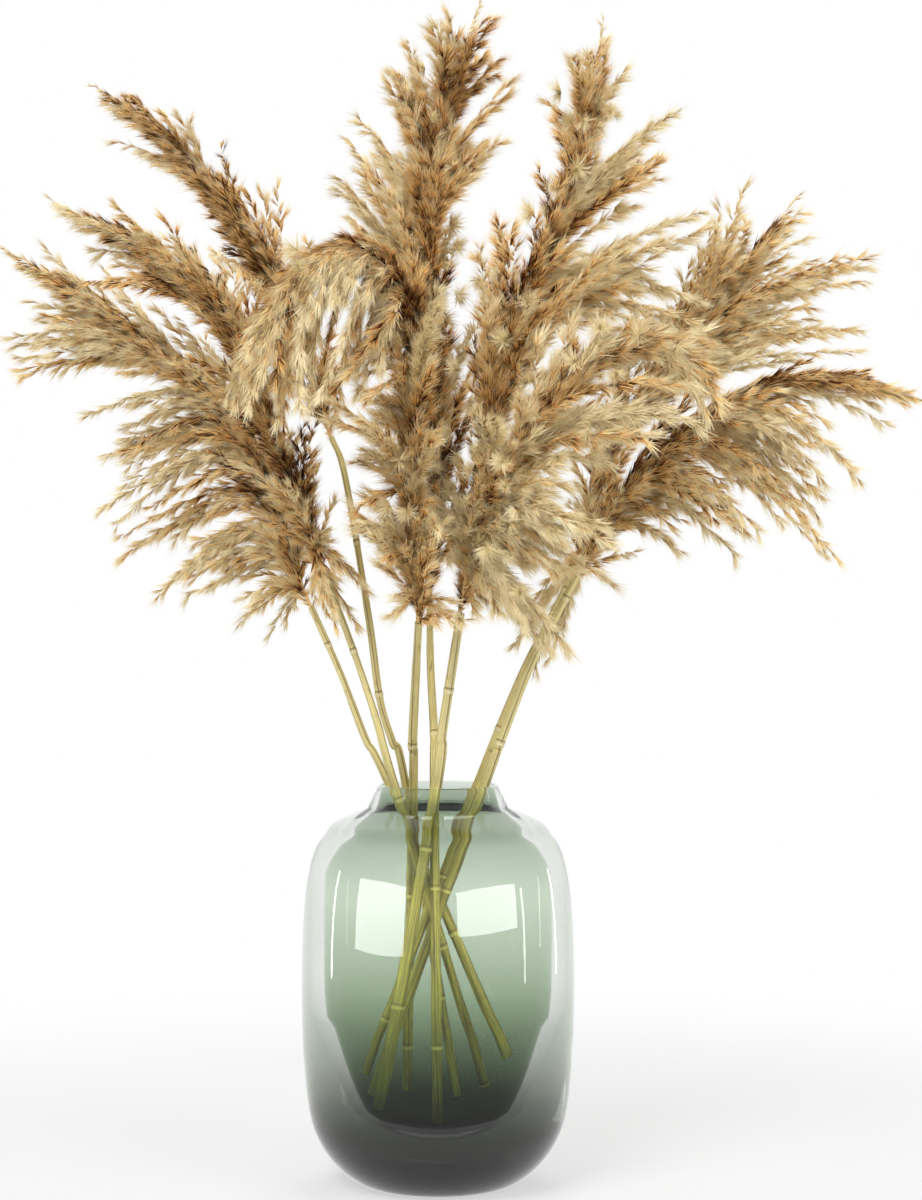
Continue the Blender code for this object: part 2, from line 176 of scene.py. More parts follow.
PLUMES = [Plume(name, foot, metres(axis), *rest) for name, foot, axis, *rest in [
    (
        "left_low", REEDS[0].bends[-1],
        [(-115, 20, 480), (-135, 25, 540), (-165, 30, 590), (-225, 35, 635),
         (-280, 35, 680), (-335, 35, 710)],
        locks(
            (0.62, -335, 75, 675), (0.58, -325, 5, 635), (0.54, -335, 45, 615), (0.4, -265, -5, 580),
            (0.34, -260, 75, 550), (0.28, -255, 15, 510), (0.18, -245, 70, 470), (0.12, -215, -5, 445),
            (0.08, -190, 65, 430), (0.22, -110, 40, 565),
        ),
        *metres((26, 13.5)), "pale",
    ),
    (
        "left_middle", REEDS[1].bends[-1],
        [(-105, -25, 520), (-130, -40, 590), (-160, -45, 645), (-200, -45, 690), (-285, -45, 735)],
        locks(
            (0.66, -230, -85, 740), (0.64, -250, -20, 710), (0.56, -255, -60, 675),
            (0.48, -195, -105, 710), (0.4, -165, -20, 700), (0.3, -140, -100, 675),
            (0.22, -185, -105, 610), (0.04, -70, -25, 492),
        ),
        *metres((26, 13.5)), "lean",
    ),
    (
        "left_high", REEDS[2].bends[-1],
        [(-105, 75, 635), (-135, 90, 700), (-180, 100, 765), (-225, 105, 815), (-275, 105, 850)],
        locks(
            (0.66, -240, 80, 845), (0.56, -205, 80, 820), (0.6, -260, 145, 810), (0.42, -192, 78, 778),
            (0.38, -175, 115, 800), (0.28, -140, 70, 760), (0.24, -180, 150, 720),
            (0.12, -110, 140, 725),
        ),
        *metres((24, 12.5)), "olive",
    ),
    (
        "nodding", REEDS[3].bends[-1],
        [(-20, -60, 500), (-20, -70, 570), (-15, -80, 635), (-30, -90, 685), (-65, -100, 695),
         (-115, -110, 655), (-150, -110, 585)],
        locks(
            (0.74, -158, -80, 615), (0.69, -130, -155, 575), (0.63, -110, -85, 565),
            (0.58, -80, -155, 585), (0.54, -58, -75, 605), (0.22, -70, -115, 560),
            (0.07, -55, -105, 490), (0.11, 8, -105, 490), (0.16, 15, -120, 560), (0.3, 12, -140, 645),
        ),
        *metres((27, 14)), "nodding",
    ),
    (
        "tall", REEDS[4].bends[-1],
        [(0, 60, 535), (-5, 70, 630), (-10, 75, 705), (-5, 80, 780), (10, 80, 850), (32, 80, 910)],
        locks(
            (0.8, 5, 60, 897), (0.72, 55, 120, 870), (0.7, -24, 100, 880), (0.66, -35, 55, 845),
            (0.58, 60, 50, 795), (0.54, -65, 130, 830), (0.42, -90, 60, 765), (0.44, 12, 150, 745),
            (0.3, -70, 150, 750), (0.18, 20, 140, 655),
        ),
        *metres((30, 13.5)), "brown",
    ),
    (
        "forked_upright", REEDS[5].bends[-1],
        [(25, -15, 485), (35, 0, 545), (45, 10, 615), (70, 20, 685), (100, 25, 755),
         (115, 30, 815), (127, 30, 885)],
        locks(
            (0.8, 105, -10, 850), (0.76, 145, 60, 850), (0.68, 90, 65, 825), (0.6, 178, -10, 805),
            (0.56, 170, 70, 785), (0.51, 198, 30, 668), (0.44, 205, -50, 628), (0.38, 48, 60, 730),
            (0.36, 216, 35, 741), (0.33, 206, -5, 719), (0.3, 35, -15, 705), (0.26, 120, -25, 695),
        ),
        *metres((28, 13.5)), "upright",
    ),
    (
        "forked_drooping", FORK_POINT,
        [(30, -70, 500), (60, -90, 550), (100, -100, 600), (145, -105, 630),
         (185, -105, 620), (200, -105, 580)],
        locks(
            (0.52, 208, -70, 625), (0.34, 182, -155, 565), (0.18, 120, -155, 475),
            (0.12, 126, -80, 455), (0.04, 95, -70, 392), (0.42, 100, -75, 660), (0.22, 30, -150, 575),
        ),
        *metres((28, 15)), "furry",
    ),
    (
        "right_high", REEDS[6].bends[-1],
        [(125, 50, 535), (155, 60, 595), (200, 70, 660), (245, 75, 710), (283, 75, 758)],
        locks(
            (0.52, 220, 45, 748), (0.66, 252, 125, 755), (0.58, 298, 135, 730), (0.5, 312, 45, 705),
            (0.42, 350, 80, 690), (0.36, 330, 135, 660), (0.3, 320, 40, 635), (0.2, 155, 115, 685),
        ),
        *metres((27, 14)), "pale",
    ),
    (
        "right_low", REEDS[7].bends[-1],
        [(135, -20, 515), (180, -30, 565), (240, -30, 600), (300, -30, 605), (358, -30, 590)],
        locks(
            (0.54, 335, -5, 575), (0.46, 305, -85, 525), (0.38, 290, 0, 480), (0.32, 280, -50, 460),
            (0.24, 230, -100, 490), (0.18, 220, -20, 475), (0.1, 175, -45, 475),
        ),
        *metres((27, 14)), "pale",
    ),
]]

HABITS = {
    "pale": Habit("lean", "straw", 0.40, 0.54, 0.85, 0.24, 0),
    "lean": Habit("lean", "straw", 0.30, 0.48, 0.85, 0.05, 0),
    "olive": Habit("lean", "olive", 0.22, 0.50, 0.85, 0.0, 0),
    "nodding": Habit("furry", "straw", 0.27, 0.56, 0.95, 0.32, 12),
    "brown": Habit("furry", "straw", 0.13, 0.62, 0.90, -0.10, 40),
    "upright": Habit("furry", "straw", 0.20, 0.62, 0.90, 0.05, 40),
    "furry": Habit("furry", "straw", 0.58, 0.52, 1.05, 0.10, 34),
}

# Small locks that fill an edge or hang below a plume
SIDE_LOCKS = {
    "left_low": locks(
        (0.44, -258, 45, 694), (0.34, -212, 20, 660), (0.3, -180, 40, 640), (0.5, -300, 30, 708),
        (0.03, -152, 30, 424), (0.02, -128, 45, 417), (0.02, -140, -10, 430),
    ),
    "left_middle": locks(
        (0.02, -64, 14, 422), (0.03, -78, -30, 424), (0.01, -85, 20, 430), (0.05, -55, -20, 448),
    ),
    "nodding": locks(
        (0.2, -50, -75, 548), (0.12, -46, -55, 512), (0.3, -50, -80, 590), (0.03, -30, -70, 430),
        (0.03, 4, -60, 432), (0.62, -92, -110, 580), (0.58, -75, -90, 570), (0.52, -55, -110, 590),
        (0.44, -50, -85, 625), (0.66, -112, -125, 570),
    ),
    "tall": locks(
        (0.62, 54, 85, 848), (0.45, -70, 80, 802), (0.4, -60, 50, 772),
    ),
    "forked_upright": locks(
        (0.02, 30, 5, 436), (0.03, 52, 0, 446),
    ),
    "forked_drooping": locks(
        (0.02, 62, -50, 420), (0.03, 45, -75, 432), (0.02, 80, -50, 405),
    ),
    "right_high": locks(
        (0.52, 238, 70, 758), (0.45, 330, 60, 700), (0.4, 328, 75, 652), (0.03, 75, 65, 385),
        (0.02, 60, 60, 405), (0.04, 88, 70, 395), (0.03, 66, 72, 430),
    ),
}


# Colours and paths


def linear(code):
    """A colour written as RRGGBB, as the linear values that the shaders take."""
    parts = [int(code[i : i + 2], 16) / 255 for i in (0, 2, 4)]
    return tuple(p / 12.92 if p <= 0.04045 else ((p + 0.055) / 1.055) ** 2.4 for p in parts)


def opaque(colour):
    """A colour with full alpha, from its code or its linear values. A wire stays as it is."""
    if isinstance(colour, Wire):
        return colour
    values = linear(colour) if isinstance(colour, str) else colour
    return (*values[:3], 1.0)


WHITE = (1.0, 1.0, 1.0, 1.0)


def smooth_path(corners):
    """A smooth curve through the corners, as a dense list of points (Catmull-Rom)."""
    points = [Vector(c) for c in corners]
    ends = [2 * points[0] - points[1], *points, 2 * points[-1] - points[-2]]
    path = []
    for a, b, c, d in zip(ends, ends[1:], ends[2:], ends[3:]):
        out = b + (c - a) / 6
        back = c - (d - b) / 6
        path += interpolate_bezier(b, out, back, c, SPAN_STEPS + 1)[:-1]
    return path + [points[-1]]


def lengths_along(path):
    total = [0.0]
    for a, b in zip(path, path[1:]):
        total.append(total[-1] + (b - a).length)
    return total


def point_at(path, share):
    """The point at this share of the path's length, and the path's direction there."""
    total = lengths_along(path)
    want = share * total[-1]
    for i in range(len(path) - 1):
        if total[i + 1] >= want or i == len(path) - 2:
            step = path[i + 1] - path[i]
            along = (want - total[i]) / (total[i + 1] - total[i])
            return path[i] + step * along, step.normalized()


# Objects


def add_object(name, data):
    made = bpy.data.objects.new(name, data)
    bpy.context.scene.collection.objects.link(made)
    return made


def evaluated_mesh(source):
    """The object's final surface as a plain mesh with its maps and attributes."""
    graph = bpy.context.evaluated_depsgraph_get()
    final = source.evaluated_get(graph)
    return bpy.data.meshes.new_from_object(final, preserve_all_data_layers=True, depsgraph=graph)


def settled(holder, name):
    """The plain mesh object that the holder's modifiers make. The holder and its mesh go."""
    guide = holder.data
    mesh = evaluated_mesh(holder)
    bpy.data.objects.remove(holder, do_unlink=True)
    bpy.data.meshes.remove(guide)
    return add_object(name, mesh)


def take_place(piece, node):
    """The piece moves with the vase and hides the frame's node."""
    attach(piece, ROOT)
    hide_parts(node)


# Nodes


def operator(operation, swapped=False):
    """A method that writes the operation on a wire and another value, or the other way round."""

    def write(self, other):
        pair = (other, self) if swapped else (self, other)
        return self.bench.maths(operation, *pair)

    return write


class Wire:
    """An output socket that sums can be written on, in shader and geometry trees alike."""

    def __init__(self, bench, socket):
        self.bench = bench
        self.socket = socket

    def also(self, name):
        """Another output of the same node."""
        return Wire(self.bench, self.socket.node.outputs[name])

    __add__ = __radd__ = operator("ADD")
    __sub__ = operator("SUBTRACT")
    __rsub__ = operator("SUBTRACT", swapped=True)
    __mul__ = __rmul__ = operator("MULTIPLY")
    __truediv__ = operator("DIVIDE")
    __rtruediv__ = operator("DIVIDE", swapped=True)


class Bench:
    """Writes nodes into one tree."""

    def __init__(self, tree):
        self.tree = tree

    def add(self, kind, settings=None, inputs=None, output=0):
        """A new node of this kind: its settings first, then its sockets' values or links."""
        node = self.tree.nodes.new(kind)
        for name, value in (settings or {}).items():
            if name == "stops":
                self.set_stops(node.color_ramp.elements, value)
            else:
                setattr(node, name, value)
        for key, value in (inputs or {}).items():
            if isinstance(value, Wire):
                self.tree.links.new(value.socket, node.inputs[key])
            else:
                node.inputs[key].default_value = value
        return Wire(self, node.outputs[output]) if len(node.outputs) else node

    def maths(self, operation, *values):
        return self.add("ShaderNodeMath", {"operation": operation}, dict(enumerate(values)))

    def clamp(self, value, low=0.0, high=1.0):
        return self.maths("MINIMUM", self.maths("MAXIMUM", value, low), high)

    def span(self, value, start, end, low=0.0, high=1.0):
        """Low before start, high after end, and a smooth rise between them."""
        values = {"Value": value, "From Min": start, "From Max": end, "To Min": low, "To Max": high}
        return self.add("ShaderNodeMapRange", {"interpolation_type": "SMOOTHSTEP"}, values)

    def mix(self, share, first, second, blend="MIX"):
        colours = {0: share, 6: opaque(first), 7: opaque(second)}
        return self.add("ShaderNodeMix", {"data_type": "RGBA", "blend_type": blend}, colours, 2)

    def set_stops(self, elements, stops):
        while len(elements) < len(stops):
            elements.new(1.0)
        for element, (place, colour) in zip(elements, stops):
            element.position = place
            element.color = opaque(colour)

    def ramp(self, share, stops):
        """A colour that runs through the stops, each a place and its colour."""
        return self.add("ShaderNodeValToRGB", {"stops": stops}, {0: share})

    def noise(self, place, scale, detail):
        return self.add("ShaderNodeTexNoise", inputs={"Vector": place, "Scale": scale, "Detail": detail})

    def bump(self, height, strength, distance):
        sockets = {"Strength": strength, "Distance": distance, "Height": height}
        return self.add("ShaderNodeBump", inputs=sockets)

    def place(self):
        """Where a point is on the piece, in metres."""
        return self.add("ShaderNodeTexCoord", output=3)

    def part(self, vector, index):
        return self.add("ShaderNodeSeparateXYZ", inputs={0: vector}, output=index)

    def vector(self, x, y, z):
        return self.add("ShaderNodeCombineXYZ", inputs={0: x, 1: y, 2: z})

    def kept(self, name):
        """In a shader, a number that the mesh keeps under this name."""
        return self.add("ShaderNodeAttribute", {"attribute_name": name}, output=2)

    def eye_paths(self):
        """1 for light seen in or through the glass, and 1 for that and for light seen straight."""
        path = self.add("ShaderNodeLightPath")
        through = path.also("Is Glossy Ray") + path.also("Is Transmission Ray")
        return through, self.clamp(path + through)

    def surface(self, sockets, **others):
        """A Principled shader with these sockets, as the material's surface."""
        shader = self.add("ShaderNodeBsdfPrincipled", inputs=sockets)
        self.add("ShaderNodeOutputMaterial", inputs={"Surface": shader, **others})

    def random(self, low, high, seed):
        return self.add("FunctionNodeRandomValue", {"data_type": "FLOAT"}, {2: low, 3: high, 8: seed}, 1)

    def random_whole(self, low, high, seed):
        return self.add("FunctionNodeRandomValue", {"data_type": "INT"}, {4: low, 5: high, 8: seed}, 2)

    def attribute(self, name, data_type="FLOAT"):
        """In a geometry tree, what is kept under this name."""
        return self.add("GeometryNodeInputNamedAttribute", {"data_type": data_type}, {"Name": name})

    def store(self, geometry, name, value, data_type="FLOAT", domain="POINT"):
        settings = {"data_type": data_type, "domain": domain}
        sockets = {0: geometry, "Name": name, "Value": value}
        return self.add("GeometryNodeStoreNamedAttribute", settings, sockets)

    def sweep(self, curve, sides, radius, mark):
        """A capped tube along the curve. The mark keeps how far round it a point is."""
        ring = self.add("GeometryNodeCurvePrimitiveCircle", inputs={"Resolution": sides, "Radius": 1.0})
        ring = self.store(ring, mark, self.add("GeometryNodeSplineParameter"))
        sockets = {"Curve": curve, "Profile Curve": ring, "Scale": radius, "Fill Caps": True}
        return self.add("GeometryNodeCurveToMesh", inputs=sockets)


def new_material(name):
    """An empty material and its bench."""
    made = bpy.data.materials.new(name)
    made.use_nodes = True
    made.node_tree.nodes.clear()
    return made, Bench(made.node_tree)


def new_growth(name, inputs):
    """A geometry tree with named inputs. Returns the tree, its bench and the inputs as wires."""
    tree = bpy.data.node_groups.new(name, "GeometryNodeTree")
    tree.interface.new_socket("Geometry", in_out="OUTPUT", socket_type="NodeSocketGeometry")
    for label, kind in {"Guide": "Geometry", **inputs}.items():
        tree.interface.new_socket(label, in_out="INPUT", socket_type="NodeSocket" + kind)
    bench = Bench(tree)
    group_input = tree.nodes.new("NodeGroupInput")
    given = {socket.name: Wire(bench, socket) for socket in group_input.outputs if socket.name}
    return tree, bench, given


def end_growth(bench, geometry, finish):
    """Instances are made real and get their finish."""
    real = bench.add("GeometryNodeRealizeInstances", inputs={"Geometry": geometry})
    dressed = bench.add("GeometryNodeSetMaterial", inputs={"Geometry": real, "Material": finish})
    bench.add("NodeGroupOutput", inputs={0: dressed})


def grow(name, guide, tree, values):
    """The plain mesh object that the tree grows on a guide mesh."""
    holder = add_object(name + "_guide", guide)
    modifier = holder.modifiers.new("Growth", "NODES")
    modifier.node_group = tree
    for item in tree.interface.items_tree:
        if item.in_out == "INPUT" and item.name in values:
            modifier[item.identifier] = values[item.name]
    return settled(holder, name)


def guide_mesh(name, lines):
    """Lines of points as loose edges. A point is its place and a dict of what is kept there."""
    mesh = bpy.data.meshes.new(name)
    places = [place for line in lines for place, _ in line]
    edges = []
    start = 0
    for line in lines:
        edges += [(i, i + 1) for i in range(start, start + len(line) - 1)]
        start += len(line)
    mesh.from_pydata(places, edges, [])
    for key in lines[0][0][1]:
        values = [kept[key] for line in lines for _, kept in line]
        mesh.attributes.new(key, "FLOAT", "POINT").data.foreach_set("value", values)
    return mesh


# Finishes


def glass_finish(look):
    """Clear casing that smokes towards the foot, and a green lining on the hollow's wall."""
    made, bench = new_material("cased_green_glass")
    place = bench.place()
    share = bench.part(place, 2) / VASE_HEIGHT
    casing = bench.ramp(share, [
        (0.0, "19181B"), (0.05, look.foot_colour), (0.10, look.foot_colour), (0.155, "5A5A58"),
        (0.215, "8C8E88"), (0.27, "AEB2AA"), (0.36, "CED3CC"), (0.52, look.casing_colour),
    ])
    lining = bench.ramp(share, [
        (0.12, "141D0F"), (0.19, "384C2E"), (0.30, "7B9274"), (0.42, "9AAF93"), (0.52, "B6C7B0"),
        (0.62, "CBD9C7"), (0.72, look.lining_colour), (0.84, "BFCDBC"), (0.92, "82937E"), (0.96, "8C9C88"),
        (1.0, "CFDACB"),
    ])
    lined = bench.kept("lining")
    ripple = bench.noise(place, look.ripple_scale, 1.0)
    smoke = {"Color": opaque(look.smoke_colour), "Density": look.smoke}
    sockets = {
        "Base Color": bench.mix(lined, casing, lining),
        "Roughness": 0.0,
        "IOR": look.ior,
        "Transmission Weight": 1.0,
        "Coat Weight": look.gloss * (1.0 - lined),
        "Coat IOR": 1.5,
        "Coat Roughness": 0.0,
        "Normal": bench.bump(ripple, 0.5, look.ripple_depth),
    }
    bench.surface(sockets, Volume=bench.add("ShaderNodeVolumeAbsorption", inputs=smoke))
    return made


def straw_finish(look):
    """Straw with fine streaks, pale rings with a dark edge, and mottled sheaths.
    Below the rim the straw, its streaks and its rings are painted darker and olive, as painted shade and
    glass tint.
    """
    made, bench = new_material("olive_straw")
    along = bench.kept("along")
    around = bench.kept("around")
    past = bench.kept("past_ring")
    turn = around * math.tau
    cosine = bench.maths("COSINE", turn)
    sine = bench.maths("SINE", turn)
    streak = bench.noise(bench.vector(cosine * 3.0, sine * 3.0, along * 9.0), 2.6, 4.0)
    blotch = bench.noise(bench.vector(cosine, sine, along * 60.0), 1.3, 3.0)
    # Painted shade and glass tint: inside the vase, below the rim, the straw, its streaks and its rings are
    # darker and more olive
    in_vase_shade_and_tint = bench.span(bench.part(bench.place(), 2), *IN_VASE_SHADE_SPAN, 1.0, 0.0)
    base = bench.mix(in_vase_shade_and_tint, look.dry_colour, look.in_vase_shaded_colour)
    streaked = bench.mix(in_vase_shade_and_tint, "A48A44", "4C4418")
    base = bench.mix(bench.span(streak, 0.38, 0.62) * (0.55 + 0.30 * in_vase_shade_and_tint), base, streaked)
    base = bench.mix(bench.span(blotch, 0.58, 0.70) * 0.55, base, "7A5A30")
    seam = bench.maths("ABSOLUTE", bench.maths("FRACT", around * 2.0 + along * 1.3) - 0.5)
    base = bench.mix(bench.span(seam, 0.03, 0.07, 0.65, 0.0), base, "4A3C16")
    ring = bench.mix(in_vase_shade_and_tint * 0.8, look.ring_colour, look.in_vase_shaded_colour)
    base = bench.mix(bench.span(bench.kept("near_ring"), *RING_BAND, 1.0, 0.0), base, ring)
    from_edge = bench.maths("ABSOLUTE", past - RING_EDGE)
    base = bench.mix(bench.span(from_edge, *RING_EDGE_BAND, 0.75, 0.0), base, "6A4A26")
    bench.surface({
        "Base Color": base,
        "Roughness": 0.5 + 0.2 * streak,
        "Normal": bench.bump(streak, 0.35, 0.0006),
    })
    return made


def fluff_finish(name, look, tones):
    """Husks and hairs: dark at the root, silky at the tip, and as light as the map's shade says.
    The darkening towards the root is partly the husks' own brown and partly painted shade deep among the
    tufts.
    """
    made, bench = new_material(name)
    shade = bench.part(bench.add("ShaderNodeUVMap", {"uv_map": FLUFF_MAP}), 0)
    up = shade.also(1)
    # Each tuft darkens towards its root and pales to its tip: partly its own brown husks and pale silk,
    # partly painted shade deep among the tufts
    lift = bench.span(up, 0.0, 0.55, -0.40, 0.0) + bench.span(up, 0.50, 1.0, 0.0, 0.30)
    tip = bench.ramp(bench.clamp(shade + lift), tones)
    root = bench.mix(1.0, tip, look.root_colour, "MULTIPLY")
    bench.surface({
        "Base Color": bench.mix(bench.span(up, 0.0, 0.45), root, tip),
        "Roughness": 0.62,
        "Specular IOR Level": 0.10,
        "Sheen Weight": 0.05,
        "Sheen Roughness": 0.4,
        "Sheen Tint": (1.0, 0.85, 0.60, 1.0),
    })
    return made


def floor_finish(look):
    """Pale floor that keeps the shadow near the vase and runs out into the white backdrop."""
    made, bench = new_material("pale_floor")
    away = bench.add("ShaderNodeVectorMath", {"operation": "LENGTH"}, {0: bench.place()}, 1)
    through, seen = bench.eye_paths()
    fade = bench.clamp(bench.span(away, *FADE_SPAN, FADE_NEAR, 1.0) * seen + through)
    glow = bench.add("ShaderNodeEmission", inputs={"Color": WHITE, "Strength": 1.0})
    matt = bench.add("ShaderNodeBsdfDiffuse", inputs={"Color": opaque(look.floor_colour)})
    both = bench.add("ShaderNodeMixShader", inputs={0: fade, 1: matt, 2: glow})
    bench.add("ShaderNodeOutputMaterial", inputs={"Surface": both})
    return made


# The vase


def arc(start, lean, settle, end, count):
    """Points (radius, height) on a Bezier arc, without its last one."""
    knots = [Vector((*place, 0)) for place in (start, lean, settle, end)]
    return [point.to_2d() for point in interpolate_bezier(*knots, count)][:-1]


def hollow_outline(top):
    """The inner wall, from the middle of the floor up to the rim."""
    floor_height = 0.036
    side = 0.086
    bend = (0.0565, 0.0555)
    foot_of_side = (side, 0.130)
    top_of_side = (side, 0.225)
    throat = (0.0475, top - 0.0200)
    inner_rim = (0.0429, top - 0.001)
    return [
        *arc((0, floor_height), (0.022, floor_height), (0.043, 0.0425), bend, 14),
        *arc(bend, (0.068, 0.0760), (0.0735, 0.098), foot_of_side, 14),
        *arc(foot_of_side, (0.0866, 0.160), (0.0868, 0.200), top_of_side, 6),
        *arc(top_of_side, (0.0856, 0.256), (0.054, 0.266), throat, 22),
        *arc(throat, (0.0455, 0.285), (0.0440, 0.291), inner_rim, 8),
        Vector(inner_rim),
    ]


def outer_outline(top, widest_radius):
    """The outer wall, from the round rim down to the middle of the foot."""
    rim = (0.0455, top - 0.001)
    neck_root = (0.0533, top - 0.018)
    shoulder = (0.089, top - 0.042)
    widest = (widest_radius, 0.5 * top)
    heel = (0.0955, 0.045)
    foot = (0.056, 0.0)
    return [
        *arc((0.0429, top - 0.001), (0.0433, top), (0.0451, top), rim, 6),
        *arc(rim, (0.0481, top - 0.0067), (0.0507, top - 0.0123), neck_root, 8),
        *arc(neck_root, (0.088, top - 0.032), (0.079, top - 0.0295), shoulder, 24),
        *arc(shoulder, (0.1007, 0.2435), (widest_radius, 0.193), widest, 14),
        *arc(widest, (widest_radius, 0.111), (0.102, 0.0695), heel, 14),
        *arc(heel, (0.0873, 0.017), (0.064, 0), foot, 20),
        Vector(foot),
        Vector((0, 0)),
    ]


def build_vase(look):
    """One outline turned about the upright axis. Its inner wall is marked as the lining."""
    hollow = hollow_outline(VASE_HEIGHT)
    outline = hollow + outer_outline(VASE_HEIGHT, VASE_RADIUS)[1:]
    line = [((p.x, 0.0, p.y), {"lining": float(i < len(hollow))}) for i, p in enumerate(outline)]
    holder = add_object("vase_outline", guide_mesh("vase_outline", [line]))
    turn = holder.modifiers.new("Turn", "SCREW")
    turn.axis = "Z"
    turn.steps = look.turn_steps
    turn.render_steps = look.turn_steps
    turn.use_merge_vertices = True
    turn.merge_threshold = 0.00001
    turn.use_smooth_shade = True
    vase = settled(holder, "glass_vase")
    vase.data.materials.append(glass_finish(look))
    take_place(vase, "vase")


# The stems


STEM_STEP = 0.0012  # between the rings of points along a stem
RING_REACH = 0.0030  # a ring swells the stem this far to each side
SHEATH_SHARE = 0.62  # of the way from a ring to the next is wrapped by a sheath
SHEATH_THICKNESS = 0.0002
RING_BAND = (0.0006, 0.0016)  # a ring's pale band is full up to here, and gone from here
RING_EDGE = 0.0028  # the dark line past a ring
RING_EDGE_BAND = (0.0003, 0.0009)
IN_VASE_SHADE_SPAN = (0.26, 0.34)  # heights over which the painted shade and glass tint of the stems below the rim fade into the plain straw above it


def stem_growth():
    """A tube swept along its path, swollen at its rings and thicker where a sheath wraps it."""
    tree, bench, given = new_growth("Jointed stem", {
        "Step": "Float", "Sides": "Int", "Ring Spacing": "Float", "First Ring": "Float",
        "Ring Length": "Float", "Ring Swell": "Float", "Sheath Share": "Float", "Sheath Thickness": "Float",
        "Finish": "Material",
    })
    curve = bench.add("GeometryNodeMeshToCurve", inputs={0: given["Guide"]})
    steps = {"Curve": curve, "Length": given["Step"]}
    curve = bench.add("GeometryNodeResampleCurve", {"mode": "LENGTH"}, steps)
    along = bench.add("GeometryNodeSplineParameter", output=1)
    spacing = given["Ring Spacing"]
    past = bench.maths("FLOORED_MODULO", along - given["First Ring"], spacing)
    nearest = bench.maths("MINIMUM", past, spacing - past)
    for name, value in {"along": along, "past_ring": past, "near_ring": nearest}.items():
        curve = bench.store(curve, name, value)
    swell = 1.0 + given["Ring Swell"] * bench.clamp(1.0 - nearest / given["Ring Length"])
    sheath = given["Sheath Thickness"] * bench.maths("LESS_THAN", past, spacing * given["Sheath Share"])
    tube = bench.sweep(curve, given["Sides"], bench.attribute("thickness") * swell + sheath, "around")
    tube = bench.add("GeometryNodeSetShadeSmooth", inputs={0: tube})
    end_growth(bench, tube, given["Finish"])
    return tree


def stem_guide(reed):
    """The stem's path with its thickness, and the way that its top end points."""
    path = smooth_path([reed.cut_end, reed.rim, *reed.bends])
    total = lengths_along(path)
    rim_length = total[SPAN_STEPS]
    cut, rim, top = reed.radii
    line = []
    for place, length in zip(path, total):
        if length < rim_length:
            radius = cut + (rim - cut) * length / rim_length
        else:
            radius = rim + (top - rim) * (length - rim_length) / (total[-1] - rim_length)
        line.append((place, {"thickness": radius}))
    return line, (path[-1] - path[-2]).normalized()


def build_stems(look):
    tree = stem_growth()
    finish = straw_finish(look)
    for reed in REEDS:
        name = "stem_" + reed.name
        values = {
            "Step": STEM_STEP, "Sides": look.sides, "Ring Spacing": look.ring_spacing,
            "First Ring": reed.first_joint, "Ring Length": RING_REACH, "Ring Swell": look.ring_swell,
            "Sheath Share": SHEATH_SHARE, "Sheath Thickness": SHEATH_THICKNESS, "Finish": finish,
        }
        stem = grow("jointed_" + name, guide_mesh(name, [stem_guide(reed)[0]]), tree, values)
        take_place(stem, name)


# The plumes


class TuftShape(NamedTuple):
    """A spikelet: pointed husks with silky hairs round them. Lengths in metres, angles in radians."""

    husks: int
    husk_length: float
    husk_width: float
    husk_spread: float
    hairs: int
    hair_length: float
    hair_width: float
    hair_spread: float


TUFT_SHAPES = {
    "lean": TuftShape(2, 0.0120, 0.00130, 0.20, 20, 0.0125, 0.00062, 0.42),
    "furry": TuftShape(1, 0.0100, 0.00120, 0.30, 26, 0.0128, 0.00064, 0.52),
}
PUFF_SHAPE = TuftShape(0, 0.0020, 0.0, 0.0, 150, 0.0100, 0.00048, 1.5)
TUFT_VARIANTS = 5
GOLDEN_TURN = math.tau * 0.618  # from one hair to the next, so that none stand behind each other
HUSK_STEP = 0.0015  # from one husk to the next up a tuft
LOCK_STALK = 0.0006  # how thick a branch is at its root, in a lock
THIN_STALK = 0.0005  # and between locks, at the foot and at the edges
BODY_STALK = 0.0004
PUFF_STALK = 0.0003
PUFF_LINE = 0.002  # the length of line that a puff stands on
# A branch is lighter than its plume's middling shade by a draw between these, or darker
LOCK_SHADES = (-0.38, 0.32)  # a whole lock
IN_LOCK_SHADES = (-0.24, 0.20)  # and each branch in it
# Darker than the locks on the whole: partly painted shade in the hollows between them
BETWEEN_SHADES = (-0.55, 0.15)
# Painted shade in part: the body round the axis is darkest, for the shade in the plume's core as well as its
# browner husks
BODY_SHADES = (-0.82, -0.15)
FOOT_SHADES = (-0.20, 0.20)
EDGE_SHADES = (-0.10, 0.15)
IN_EDGE_SHADES = (-0.10, 0.10)
HUSK_SHADES = (-0.40, -0.15)  # in a tuft, against the tuft's own shade
HAIR_SHADES = (-0.16, 0.22)
SPINE_SHADE = 0.45
SPINE_FLUFF = 0.6  # size of the tufts on the axis itself
PUFF_SHADE = 0.85
FULL_FROM = 0.4  # share of a branch at which its tufts are fullest
LOCK_POINTS = 10
SPINE_STEPS = 24
SIZE_VARIATION = 0.25  # of a tuft, either way
SHADE_VARIATION = 0.13
MAP_EDGES = (0.01, 0.99)  # the fluff map's shade stays between these


def way(spread, turn):
    """A direction this far off the tuft's own axis, turned this far round it."""
    return Vector((math.sin(spread) * math.cos(turn), math.sin(spread) * math.sin(turn), math.cos(spread)))


